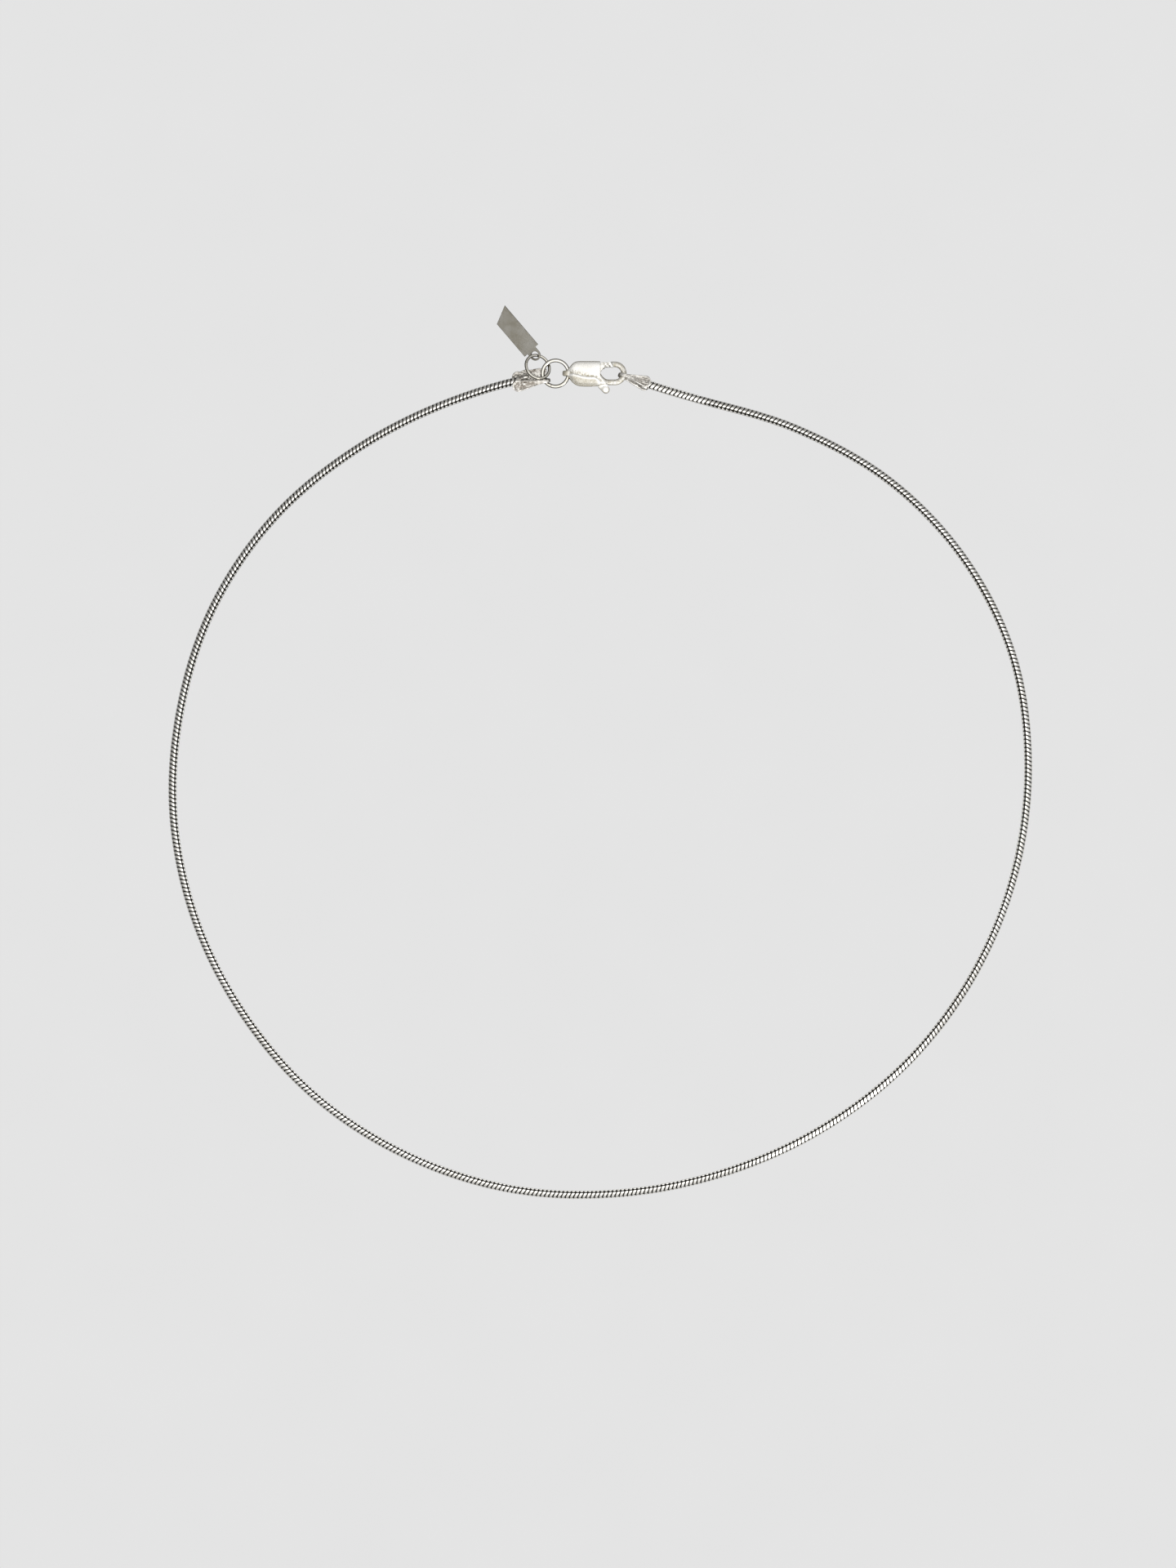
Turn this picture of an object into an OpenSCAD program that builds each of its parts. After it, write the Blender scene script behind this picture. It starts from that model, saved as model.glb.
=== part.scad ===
// Snake chain necklace with lobster clasp, lying fastened in a loop.
// Lengths in millimetres, +Z up, the surface it lies on is Z = 0.

/* [Loop] */
// Width of the loop, between the middles of the chain
loop_w = 148.5; // [120:0.5:180]
// Length of the loop, from its lowest point to where the chain starts to rise to the caps
loop_l = 138.3; // [110:0.1:170]

/* [Chain] */
// Width of the eight-sided chain across its flats
chain_w = 1.42; // [1:0.02:1.8]
// Gap between the chain and the sheet soldered round its end
solder_gap = 0.03; // [0.02:0.01:0.1]

/* [End caps] */
// Thickness of the folded sheet
cap_sheet = 0.28; // [0.2:0.02:0.4]
// Width of a leaf at its round end
cap_leaf_w = 2.1; // [1.7:0.1:2.6]
// Length of a leaf, from the centre of the fold to its round end
cap_leaf_l = 5.2; // [4.6:0.1:6.5]
// Width of the sheet where it is folded
cap_neck_w = 0.6; // [0.4:0.05:0.9]
// Length of chain gripped between the leaves
cap_grip = 2.3; // [1.5:0.1:2.6]
// Roll of the caps about their own length
cap_roll = 12; // [8:1:18]
// Height of the leaves' lowest edge over the surface
cap_clear = 0.08; // [0.01:0.01:0.1]
// Angle between the left cap's fold and the chain that it holds
left_lean = 9; // [8:0.5:14]
// Angle between the left cap's upper leaf and the chain
left_upper = 4; // [0:0.5:6]
// Angle between the left cap's lower leaf and the chain
left_lower = 20; // [16:0.5:22]
// Distance that the left cap's leaves put the chain beside the fold
left_offset = 1.1; // [0.8:0.1:1.2]
// Angle that each leaf of the right cap turns away from the chain
right_splay = 1; // [0:1:6]
// Heading of the chain in the left cap, away from the fold
left_heading = 194; // [190:1:198]
// Heading of the chain in the right cap, away from the fold
right_heading = -18; // [-22:1:-14]

/* [Jump ring] */
// Outer diameter of the main jump ring
ring_od = 5.2; // [4.8:0.1:6]
// Wire of the main jump ring
ring_wire = 0.68; // [0.5:0.02:0.76]
// Slope of the ring, down from the clasp's eye to the left cap
ring_dip = 5; // [4:0.5:6]
// Roll of the ring about the line from the left cap to the eye
ring_roll = 1.7; // [0:0.1:3]

/* [Tag] */
// Outer diameter of the small ring that holds the tag
tag_ring_od = 4.9; // [4.6:0.1:5.4]
// Wire of the tag's ring
tag_ring_wire = 0.54; // [0.4:0.02:0.6]
// Width of the tag
tag_w = 3.4; // [3:0.1:4.2]
// Length of the tag's longer edge
tag_l = 8.9; // [7:0.1:11]
// Length that the slanted end takes off the shorter edge
tag_slant = 1.45; // [0:0.05:3]
// Thickness of the tag
tag_t = 0.3; // [0.2:0.02:0.4]
// Thickness of the tag's tab, pressed thinner than the plate
tab_t = 0.24; // [0.16:0.02:0.3]
// Diameter of the hole in the tag's tab
tag_hole_d = 1.3; // [1.2:0.05:1.5]
// Width of the rim round that hole
tag_rim = 0.35; // [0.3:0.05:0.6]

/* [Clasp] */
// Bore of the eye at the clasp's tail
eye_d = 1.04; // [0.96:0.02:1.3]
// Wall of the eye
eye_wall = 0.4; // [0.3:0.05:0.6]
// Width of the eye along its bore
eye_w = 0.92; // [0.7:0.02:1.2]
// Length of the body, from the centre of the eye to the mouth
body_l = 5.65; // [5.4:0.05:6.2]
// Width of the body
body_w = 4.38; // [4.2:0.05:4.8]
// Thickness of the body
body_t = 2.9; // [2.6:0.05:3.4]
// Wire of the hook
hook_wire = 1; // [0.9:0.05:1.15]
// Radius of the hook's bend, to the middle of its wire
hook_r = 1.56; // [1.5:0.02:1.7]
// Length from the mouth of the body to the centre of the hook's bend
hook_reach = 2.53; // [2.3:0.01:2.8]

/* [Lever] */
// Thickness of the lever
lever_t = 1.2; // [0.9:0.05:1.3]
// Clearance on each side of the lever
lever_gap = 0.08; // [0.05:0.01:0.12]
// Diameter of the pin that the lever turns on
pin_d = 0.8; // [0.6:0.05:1]
// Radial clearance of the lever on its pin
pin_gap = 0.05; // [0.03:0.01:0.08]
// Diameter of the lever's hub
hub_d = 1.8; // [1.5:0.1:1.9]
// Height of the gate that closes the hook
gate_h = 0.9; // [0.7:0.05:1]
// Gap between the gate's end and the tip of the hook
gate_gap = 0.08; // [0.05:0.01:0.15]
// Diameter of the thumb nub
nub_d = 1.32; // [1.1:0.02:1.4]

/* [Hidden] */
$fn = 48;

// Pieces that hold one another stay this far apart, and so do caps and what they hang on
fit = 0.05;
hang_gap = 0.18;

// The clasp lies flat: its middle plane, and the centre of its eye
clasp_z = body_t / 2;
clasp_share = 0.475;
eye_at = [-5.69, clasp_share * loop_l, clasp_z];
eye_r = eye_d / 2;

// Chain section and the room between the leaves of a cap
chain_sides = 8;
chain_r = chain_w / 2 / cos(180 / chain_sides);
chain_z = chain_w / 2;
cap_gap = 2 * (chain_r + solder_gap);
cap_outer_r = cap_gap / 2 + cap_sheet;
cap_z = cap_outer_r * cos(cap_roll) + cap_leaf_w / 2 * sin(cap_roll) + cap_clear;

// Main ring: its wire leans on the body's side of the eye's bore
ring_r = (ring_od - ring_wire) / 2;
ring_wire_r = ring_wire / 2;
ring_in_eye = eye_at + [eye_r - ring_wire_r - fit, 0, 0];
ring_at = ring_in_eye - ring_r * [cos(ring_dip), 0, sin(ring_dip)];

// Left cap: its place from the ring's centre, where its fold holds the ring's wire and, beside it, the tag ring's wire
left_hang = 2.33;
left_hang_angle = 213;
function heading(a) = [cos(a), sin(a), 0];
left_fold_xy = ring_at + left_hang * heading(left_hang_angle);
left_fold = [left_fold_xy.x, left_fold_xy.y, cap_z];

// The left cap's leaves are longer than the common length and the right cap's are shorter
left_longer = 0.4;
right_shorter = 0.45;

// Flare of the left cap's lower leaf: it lies level, below the rings. Outline in shares of the leaf's length
left_flare = [[-0.1, -0.07], [-0.18, -0.375], [0.06, -0.46], [0.38, -0.48], [0.54, -0.53], [0.81, -0.485],
              [0.945, -0.385], [0.8, -0.225], [0.305, -0.073], [0.025, -0.017]];
left_flare_z = -0.93;

// Right cap: its fold is pulled against the inside of the hook
hook_at = eye_at + [body_l + hook_reach, 0, 0];
hook_wire_r = hook_wire / 2;
right_wire = hook_at + hook_r * heading(right_heading);
right_fold_xy = right_wire + (cap_gap / 2 - hook_wire_r - hang_gap) * heading(right_heading);
right_fold = [right_fold_xy.x, right_fold_xy.y, cap_z];

// Tag ring and tag: the ring links the main ring, the tag hangs on it
tag_ring_r = (tag_ring_od - tag_ring_wire) / 2;
tag_ring_at = [ring_at.x - 3.08, ring_at.y + 1.13, 1.5];
tag_ring_tilt = [-19.3, 23.7, 0];
tag_hole_at = [tag_ring_at.x - 0.45, tag_ring_at.y + 2.11, 0.975];
tag_heading = 130.5;
tag_tilt = [-25.5, 0.4, 0];

// Lever: its pivot from the mouth, and the reach of the gate
pivot_at = eye_at + [body_l - 0.85, -0.14, 0];
gate_reach = 3.35;
gate_top = 2.06;
nub_at = [1.82, -2.69];
nub_tail = [0.6, -2.2];
nub_tail_r = 0.12;
lever_open = 0;
arm_right = [0.37, 0.25];
nub_right = nub_at + [0.5, 0.4];
slot_side = [0.14, 0.09];

// Route of the chain, from the left cap round to the right cap, as seen from above:
// how far across and how far along, as shares of loop_w and loop_l
route_shares = [
    [-0.1670, 0.4432], [-0.2808, 0.3832], [-0.3791, 0.2972], [-0.4512, 0.1858], [-0.4909, 0.0564],
    [-0.4997, -0.0795], [-0.4734, -0.2126], [-0.4155, -0.3333], [-0.3313, -0.4353], [-0.2242, -0.5083],
    [-0.1037, -0.5495], [0.0229, -0.5546], [0.1475, -0.5278], [0.2626, -0.4714], [0.3623, -0.3868],
    [0.4377, -0.2777], [0.4848, -0.1511], [0.5003, -0.0159], [0.4828, 0.1186], [0.4269, 0.2401],
    [0.3394, 0.3391], [0.2290, 0.4056], [0.1077, 0.4447]
];
ring_steps = 3;

// The chain's ends lie between the leaves and leave them straight
cap_inside = cap_leaf_l - cap_grip;
lead = 2.5;
function along_cap(fold, a, d) = fold + d * heading(a);
left_start = left_fold + left_offset * (cos(cap_roll) * heading(left_heading - 90) + [0, 0, sin(cap_roll)]);
chain_route = concat(
    [along_cap(left_start, left_heading, cap_inside),
     along_cap(left_start, left_heading, cap_leaf_l + lead)],
    [for (p = route_shares) [p.x * loop_w, p.y * loop_l, chain_z]],
    [along_cap(right_fold, right_heading, cap_leaf_l + lead),
     along_cap(right_fold, right_heading, cap_inside)]
);
last = len(chain_route) - 1;

// Smooth curve through the route: level unit tangents, weighted so that arcs stay round
function unit(v) = v / norm(v);
function chord(i) = chain_route[i + 1] - chain_route[i];
function level(i) = [chord(i).x, chord(i).y, 0];
function tangent(i) =
    i == 0 ? heading(left_heading)
    : i == last ? -heading(right_heading)
    : unit(norm(level(i - 1)) * unit(level(i)) + norm(level(i)) * unit(level(i - 1)));
function hermite(a, ta, b, tb, t) =
    (2 * pow(t, 3) - 3 * t * t + 1) * a + (pow(t, 3) - 2 * t * t + t) * ta
    + (3 * t * t - 2 * pow(t, 3)) * b + (pow(t, 3) - t * t) * tb;
function on_route(i, t) =
    hermite(chain_route[i], norm(chord(i)) * tangent(i),
            chain_route[i + 1], norm(chord(i)) * tangent(i + 1), t);
tube_line = concat(
    [for (i = [0 : last - 1], k = [0 : ring_steps - 1]) on_route(i, k / ring_steps)],
    [chain_route[last]]
);

// Tube with flats above, below and at the sides, swept along a line of points
function line_dir(p, i) = unit(p[min(i + 1, len(p) - 1)] - p[max(i - 1, 0)]);
function side_of(d) = unit(cross([0, 0, 1], d));
function tube_ring(p, i, r, n) =
    let (d = line_dir(p, i), s = side_of(d), u = cross(d, s))
    [for (k = [0 : n - 1]) let (a = (k + 0.5) * 360 / n) p[i] + r * (cos(a) * s + sin(a) * u)];

// Closed skin over rings of n points each
module skin(points, n) {
    rings = len(points) / n;
    sides = [for (i = [0 : rings - 2], k = [0 : n - 1])
        [i * n + k, (i + 1) * n + k, (i + 1) * n + (k + 1) % n, i * n + (k + 1) % n]];
    first = [for (k = [0 : n - 1]) k];
    end = [for (k = [n - 1 : -1 : 0]) (rings - 1) * n + k];
    polyhedron(points, concat(sides, [first], [end]), convexity = 10);
}

module snake_chain() {
    color("silver") skin([for (i = [0 : len(tube_line) - 1])
        each tube_ring(tube_line, i, chain_r, chain_sides)], chain_sides);
}

// One leaf of a cap: a narrow neck that widens to a round end
module leaf_outline(leaf_l) {
    r = cap_leaf_w / 2;
    c = leaf_l - r;
    neck = [cap_neck_w, cap_neck_w / 2];
    to_neck = neck - [c, 0];
    touch = atan2(to_neck.y, to_neck.x) - acos(r / norm(to_neck));
    upper = [[-fit, neck.y], neck, [c + r * cos(touch), r * sin(touch)]];
    polygon(concat(upper, [for (i = [2 : -1 : 0]) [upper[i].x, -upper[i].y]]));
    translate([c, 0]) circle(r);
}

// A cap: a strip of sheet folded over the wire, its leaves on either side of the chain
module end_cap(fold, turn, lean, leaf_turns, leaf_l) {
    translate(fold) rotate([0, 0, turn]) rotate([-cap_roll, 0, 0]) {
        rotate([0, 0, -lean]) rotate([90, 0, 0]) rotate([0, 0, 90]) rotate_extrude(angle = 180)
            translate([cap_gap / 2, -cap_neck_w / 2]) square([cap_sheet, cap_neck_w]);
        for (side = [-1, 1])
            translate([0, 0, side * (cap_gap + cap_sheet) / 2])
                rotate([0, 0, leaf_turns[side < 0 ? 0 : 1]])
                linear_extrude(cap_sheet, center = true) leaf_outline(leaf_l);
    }
}

module end_cap_left() {
    color("gainsboro") union() {
        end_cap(left_fold, left_heading, left_lean, [-left_lower, -left_upper], cap_leaf_l + left_longer);
        translate(left_fold + [0, 0, left_flare_z]) rotate([0, 0, left_heading])
            linear_extrude(cap_sheet, center = true) polygon(cap_leaf_l * left_flare);
    }
}

module end_cap_right() {
    color("gainsboro") end_cap(right_fold, right_heading, 0, [-right_splay, right_splay], cap_leaf_l - right_shorter);
}

module wire_ring(r, wire) {
    rotate_extrude() translate([r, 0]) circle(wire / 2, $fn = 24);
}

module jump_ring() {
    color("whitesmoke") translate(ring_at) rotate([ring_roll, -ring_dip, 0])
        wire_ring(ring_r, ring_wire);
}

module tag_ring() {
    color("whitesmoke") translate(tag_ring_at) rotate(tag_ring_tilt)
        wire_ring(tag_ring_r, tag_ring_wire);
}

// The tag's plate starts at the rim of its tab; its far end is cut at a slant
module tag() {
    half = tag_w / 2;
    near = tag_hole_d / 2 + tag_rim;
    color("darkgray") translate(tag_hole_at) rotate([0, 0, tag_heading]) rotate(tag_tilt) {
        linear_extrude(tag_t, center = true)
            polygon([[near, -half], [near + tag_l, -half], [near + tag_l - tag_slant, half],
                     [near, half]]);
        linear_extrude(tab_t, center = true) difference() {
            union() {
                circle(near);
                translate([0, -near]) square([near + fit, 2 * near]);
            }
            circle(tag_hole_d / 2);
        }
    }
}

// Sections of the clasp's body, from the eye to the mouth.
// along is a share of body_l, top and bottom are shares of body_w, thick is a share of body_t.
body_along = [0.01, 0.05, 0.145, 0.245, 0.35, 0.5, 0.7, 0.88, 1];
body_top = [0.11, 0.2, 0.35, 0.434, 0.468, 0.477, 0.477, 0.477, 0.468];
body_bottom = [0.11, 0.21, 0.39, 0.468, 0.503, 0.52, 0.523, 0.523, 0.505];
body_thick = [0.34, 0.45, 0.68, 0.85, 0.94, 1, 1, 0.97, 0.92];
body_sides = 24;
body_square = 2.5;

function rounded(v) = sign(v) * pow(abs(v), 2 / body_square);
module body_shell() {
    skin([for (i = [0 : len(body_along) - 1], k = [0 : body_sides - 1])
        let (a = 360 * k / body_sides, c = rounded(cos(a)), s = rounded(sin(a)))
        [body_along[i] * body_l,
         c * body_w * (c > 0 ? body_top[i] : body_bottom[i]),
         s * body_t / 2 * body_thick[i]]], body_sides);
}

// The hook's lower arm grows out of the body beside the lever
module hook_root() {
    root_r = 0.8;
    root_back = 0.5;
    root_out = 1.75;
    hull() {
        for (z = [-0.5, 0.5])
            translate([body_l - root_back, 0.4 - hook_r, z]) sphere(root_r, $fn = 32);
        translate([body_l + root_out, -hook_r, 0]) sphere(hook_wire_r, $fn = 32);
    }
}

module hook() {
    c = body_l + hook_reach;
    translate([body_l + 1, -hook_r, 0]) rotate([0, 90, 0]) cylinder(h = c - body_l - 1, r = hook_wire_r);
    translate([c, 0, 0]) rotate([0, 0, -90]) rotate_extrude(angle = 180)
        translate([hook_r, 0]) circle(hook_wire_r, $fn = 24);
    difference() {
        translate([c - 1, hook_r, 0]) rotate([0, 90, 0]) cylinder(h = 1, r = hook_wire_r);
        translate([pivot_at.x - eye_at.x, pivot_at.y - eye_at.y, 0])
            cylinder(h = 2 * hook_wire, r = gate_reach + gate_gap, center = true, $fn = 96);
    }
}

// The room that the lever swings in, open at the mouth and at the thumb nub
module lever_slot() {
    p = [pivot_at.x - eye_at.x, pivot_at.y - eye_at.y];
    hub = hub_d / 2 + lever_gap;
    top = gate_top - 0.31;
    right = hub + 0.42;
    below = nub_at.y - 0.3;
    back = hub / 2 + 0.1;
    side = p + slot_side;
    linear_extrude(lever_t + 2 * lever_gap, center = true)
        polygon([p + [-hub - 0.07, 0.4], p + [-0.3, top], p + [right, top], p + [right, -0.16],
                 side + arm_right + 0.41 * (nub_right - arm_right), side + nub_right,
                 [side.x + nub_right.x, p.y + below], p + [-back, below], p + [-back, -1.3],
                 p + [-hub - 0.07, -0.3]]);
}

module clasp_body() {
    color("whitesmoke") translate(eye_at) {
        difference() {
            union() {
                body_shell();
                hook_root();
                hook();
                rotate([90, 0, 0]) cylinder(h = eye_w, r = eye_r + eye_wall, center = true);
            }
            rotate([90, 0, 0]) cylinder(h = body_w, r = eye_r, center = true);
            lever_slot();
        }
        translate(pivot_at - eye_at) cylinder(h = body_t * 0.94, r = pin_d / 2, center = true);
    }
}

// Lever, drawn about its pivot: hub, gate above and thumb nub below
module clasp_lever() {
    gate_low = gate_top - gate_h;
    color("whitesmoke") translate(pivot_at) rotate([0, 0, -lever_open])
        difference() {
            union() {
                cylinder(h = lever_t, r = hub_d / 2, center = true);
                linear_extrude(lever_t, center = true) intersection() {
                    circle(gate_reach, $fn = 96);
                    polygon([[-0.7, 0.45], [0, 1.54], [0.92, 1.64], [1.02, gate_top],
                             [gate_reach + 1, gate_top], [gate_reach + 1, gate_low], [1.5, gate_low],
                             [0.72, 0.15], [0, 0]]);
                }
                linear_extrude(lever_t, center = true)
                    polygon([-arm_right, arm_right, nub_right, 2 * nub_at - nub_right]);
                hull() {
                    translate(nub_at) cylinder(h = lever_t, r = nub_d / 2, center = true);
                    translate(nub_tail) cylinder(h = lever_t, r = nub_tail_r, center = true);
                }
            }
            cylinder(h = body_t, r = pin_d / 2 + pin_gap, center = true);
        }
}

snake_chain();
end_cap_left();
end_cap_right();
jump_ring();
tag_ring();
tag();
clasp_body();
clasp_lever();
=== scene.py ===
# %% [markdown]
# # A silver snake chain necklace, fastened in a loop
# The necklace lies on a pale floor and is seen from straight above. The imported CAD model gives
# every piece its place and size. Each cell below dresses one piece: the chain gets its real links,
# the caps their soldered sheet, the clasp its soft cast form. We load the frame first, because
# every piece that we make later has to ride on one of its bodies.

# %% Load the frame
import math

import bpy
import numpy as np
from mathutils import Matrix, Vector, noise


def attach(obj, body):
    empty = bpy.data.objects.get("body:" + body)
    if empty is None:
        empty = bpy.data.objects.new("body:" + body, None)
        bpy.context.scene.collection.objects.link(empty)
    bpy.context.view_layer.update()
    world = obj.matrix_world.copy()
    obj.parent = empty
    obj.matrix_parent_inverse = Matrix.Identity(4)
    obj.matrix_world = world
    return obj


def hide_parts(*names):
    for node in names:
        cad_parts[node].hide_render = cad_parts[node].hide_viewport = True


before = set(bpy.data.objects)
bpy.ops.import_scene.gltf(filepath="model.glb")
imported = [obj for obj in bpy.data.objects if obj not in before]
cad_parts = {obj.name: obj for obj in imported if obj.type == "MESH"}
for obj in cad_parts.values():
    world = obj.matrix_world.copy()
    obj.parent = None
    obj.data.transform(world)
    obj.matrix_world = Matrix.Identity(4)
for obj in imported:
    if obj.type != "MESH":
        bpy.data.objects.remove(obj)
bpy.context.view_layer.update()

MM = 0.001
scene = bpy.context.scene
print("CAD nodes:", sorted(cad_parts))

# %% [markdown]
# ## The view
# The photograph looks straight down, and one of its pixels covers 0.142 mm of the surface. A camera
# could be aimed by eye until the loop fits. It is exact to work it out instead: the middle of the
# picture falls on a known point of the frame, and the lens follows from the camera's height and
# from the length of surface that the picture's long side shows. Blender keeps what a camera, a lamp
# or a mesh is apart from the object that stands in the scene, so a helper makes the object.

# %% Camera
PHOTO_SIZE = (1440, 1920)
PIXEL = 0.142 * MM
ORIGIN_PIXEL = (735.25, 920.6)
CAMERA_HEIGHT = 0.9
SENSOR = 36.0


def add_object(name, data):
    """An object in the scene that shows this camera, light, mesh or curve."""
    thing = bpy.data.objects.new(name, data)
    scene.collection.objects.link(thing)
    return thing


def place_camera():
    """A camera that looks straight down on the point under the picture's middle."""
    data = bpy.data.cameras.new("overhead_camera")
    data.sensor_fit = "VERTICAL"
    data.sensor_height = SENSOR
    data.lens = SENSOR * CAMERA_HEIGHT / (PHOTO_SIZE[1] * PIXEL)
    camera = add_object("overhead_camera", data)
    middle_x = (PHOTO_SIZE[0] / 2 - ORIGIN_PIXEL[0]) * PIXEL
    middle_y = (ORIGIN_PIXEL[1] - PHOTO_SIZE[1] / 2) * PIXEL
    camera.location = (middle_x, middle_y, CAMERA_HEIGHT)
    scene.camera = camera
    return camera


camera = place_camera()
print("camera over", [round(v, 4) for v in camera.location], "lens", round(camera.data.lens, 1))

# %% [markdown]
# ## Small tools for materials
# A material in Blender is a graph of nodes. Writing every node and link by hand makes long cells,
# so three short helpers do it: one adds a node and fills in its values, one joins sockets, one
# starts a material and hands back its Principled shader. Values that are the same all over a
# surface go straight on the shader.

# %% Helpers for node graphs
def add_node(tree, kind, values=None, **settings):
    """Adds a node, sets its properties, and fills in its inputs by name or number."""
    node = tree.nodes.new(kind)
    for key, value in settings.items():
        setattr(node, key, value)
    for key, value in (values or {}).items():
        node.inputs[key].default_value = value
    return node


def connect(tree, *links):
    """Joins an output of one node to an input of another, each named or numbered."""
    for node, output, target, socket in links:
        tree.links.new(node.outputs[output], target.inputs[socket])


def start_material(name, **shader_values):
    """A new material with one Principled shader; keys are socket names with _ for a space."""
    material = bpy.data.materials.new(name)
    material.use_nodes = True
    tree = material.node_tree
    shader = tree.nodes["Principled BSDF"]
    for key, value in shader_values.items():
        shader.inputs[key.replace("_", " ")].default_value = value
    return material, tree, shader


def grey(value, warmth=0.0):
    """A grey that turns to cream as warmth grows."""
    return (value * (1 + 0.4 * warmth), value, value * (1 - warmth), 1.0)


print("a warm grey:", grey(0.5, warmth=0.1))

# %% [markdown]
# ## The surface under it and the light
# The photograph has a plain pale surface and soft light from all round. A dome of light, the world,
# gives that. Silver shows only what it reflects, so the dome isn't even. It is dim overhead, where
# the camera and the photographer stand, and brightest in a broad ring round that. It falls to a
# dull grey at the horizon, which draws the dark lines along wires. All of it leans a little towards
# the lower right of the picture. A dot product measures how near each direction is to the dome's
# axis, and a colour ramp turns that share into light.

# %% World dome
DOME_AXIS = (0.24, -0.17, 0.96)
# Shares from 0, square to the axis, to 1, along it, each with its brightness
DOME_LIGHT = ((0.0, 0.36), (0.24, 0.36), (0.4, 0.576), (0.55, 0.72), (0.8, 0.95), (0.94, 0.57),
              (1.0, 0.57))


def make_dome():
    world = bpy.data.worlds.new("studio_dome")
    scene.world = world
    world.use_nodes = True
    tree = world.node_tree
    tree.nodes.clear()
    direction = add_node(tree, "ShaderNodeTexCoord")
    lean = add_node(tree, "ShaderNodeVectorMath", {1: DOME_AXIS}, operation="DOT_PRODUCT")
    ramp = add_node(tree, "ShaderNodeValToRGB")
    stops = ramp.color_ramp.elements
    for stop, (share, light) in zip(stops, (DOME_LIGHT[0], DOME_LIGHT[-1])):
        stop.position, stop.color = share, grey(light)
    for share, light in DOME_LIGHT[1:-1]:
        stops.new(share).color = grey(light)
    glow = add_node(tree, "ShaderNodeBackground")
    out = add_node(tree, "ShaderNodeOutputWorld")
    connect(tree, (direction, "Generated", lean, 0), (lean, "Value", ramp, "Fac"),
            (ramp, "Color", glow, "Color"), (glow, 0, out, "Surface"))


make_dome()
scene.view_settings.view_transform = "Standard"
print("dome ready, view transform", scene.view_settings.view_transform)

# %% [markdown]
# The floor is a wide plane just under the necklace. Ordinary white card would show a soft shadow
# round each piece, but the photograph's surface is even right up to the silver, like a light table.
# So the camera sees a card that glows evenly, with a faint mottling, while the silver reflects a
# grey card that takes shadows, darker towards the upper left, as under a screen. Its shade and its
# shadows draw the dark lines along the edges of the silver.

# %% Floor
CARD_GLOW, CARD_MOTTLE = 0.776, 0.01
CARD_DARK, CARD_PALE = 0.34, 0.62
# How fast the card's shade changes, in steps for each metre to the right and up the picture
CARD_LEAN = (4.0, -4.0, 0.0)
FLOOR_DROP = 0.02 * MM


def make_floor(half=3.0):
    mesh = bpy.data.meshes.new("floor")
    corners = [(-half, -half, 0), (half, -half, 0), (half, half, 0), (-half, half, 0)]
    mesh.from_pydata(corners, [], [(0, 1, 2, 3)])
    floor = add_object("floor", mesh)
    floor.location.z = -FLOOR_DROP
    material, tree, shader = start_material("pale_card", Roughness=1.0, Specular_IOR_Level=0.0)
    place = add_node(tree, "ShaderNodeTexCoord")
    mottling = add_node(tree, "ShaderNodeTexNoise", {"Scale": 60.0, "Detail": 3.0})
    ramp = add_node(tree, "ShaderNodeValToRGB")
    ramp.color_ramp.elements[0].color = grey(CARD_GLOW * (1 - CARD_MOTTLE))
    ramp.color_ramp.elements[1].color = grey(CARD_GLOW * (1 + CARD_MOTTLE))
    glow = add_node(tree, "ShaderNodeEmission")
    path = add_node(tree, "ShaderNodeLightPath")
    mix = add_node(tree, "ShaderNodeMixShader")
    lean = add_node(tree, "ShaderNodeVectorMath", {1: CARD_LEAN}, operation="DOT_PRODUCT")
    shade = add_node(tree, "ShaderNodeMapRange", {"From Min": -0.5, "From Max": 0.5,
                                                  "To Min": CARD_DARK, "To Max": CARD_PALE})
    connect(tree, (place, "Object", mottling, "Vector"), (mottling, "Fac", ramp, "Fac"),
            (ramp, "Color", glow, "Color"), (place, "Object", lean, 0),
            (lean, "Value", shade, "Value"), (shade, "Result", shader, "Base Color"),
            (path, "Is Camera Ray", mix, 0), (shader, 0, mix, 1), (glow, 0, mix, 2),
            (mix, 0, tree.nodes["Material Output"], "Surface"))
    mesh.materials.append(material)
    return floor


floor = make_floor()
print("floor", [round(v, 2) for v in floor.dimensions])

# %% [markdown]
# ## Silver
# Polished silver is a bright metal with a slightly warm tint. Two things keep it from looking like
# plastic chrome: tumbling leaves fine marks that spread the highlights, and skin oils and tarnish
# dull it in patches. Both effects are wanted on every piece, in different strengths, so they are
# built once as a node group with named inputs and outputs, and each material sets its own values.

# %% Node group for worn polish
def start_group(name, inputs, outputs):
    """A new node group with named sockets, and its input and output nodes."""
    group = bpy.data.node_groups.new(name, "ShaderNodeTree")
    for in_out, sockets in (("INPUT", inputs), ("OUTPUT", outputs)):
        for label, kind in sockets:
            group.interface.new_socket(name=label, in_out=in_out, socket_type="NodeSocket" + kind)
    return group, add_node(group, "NodeGroupInput"), add_node(group, "NodeGroupOutput")


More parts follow.
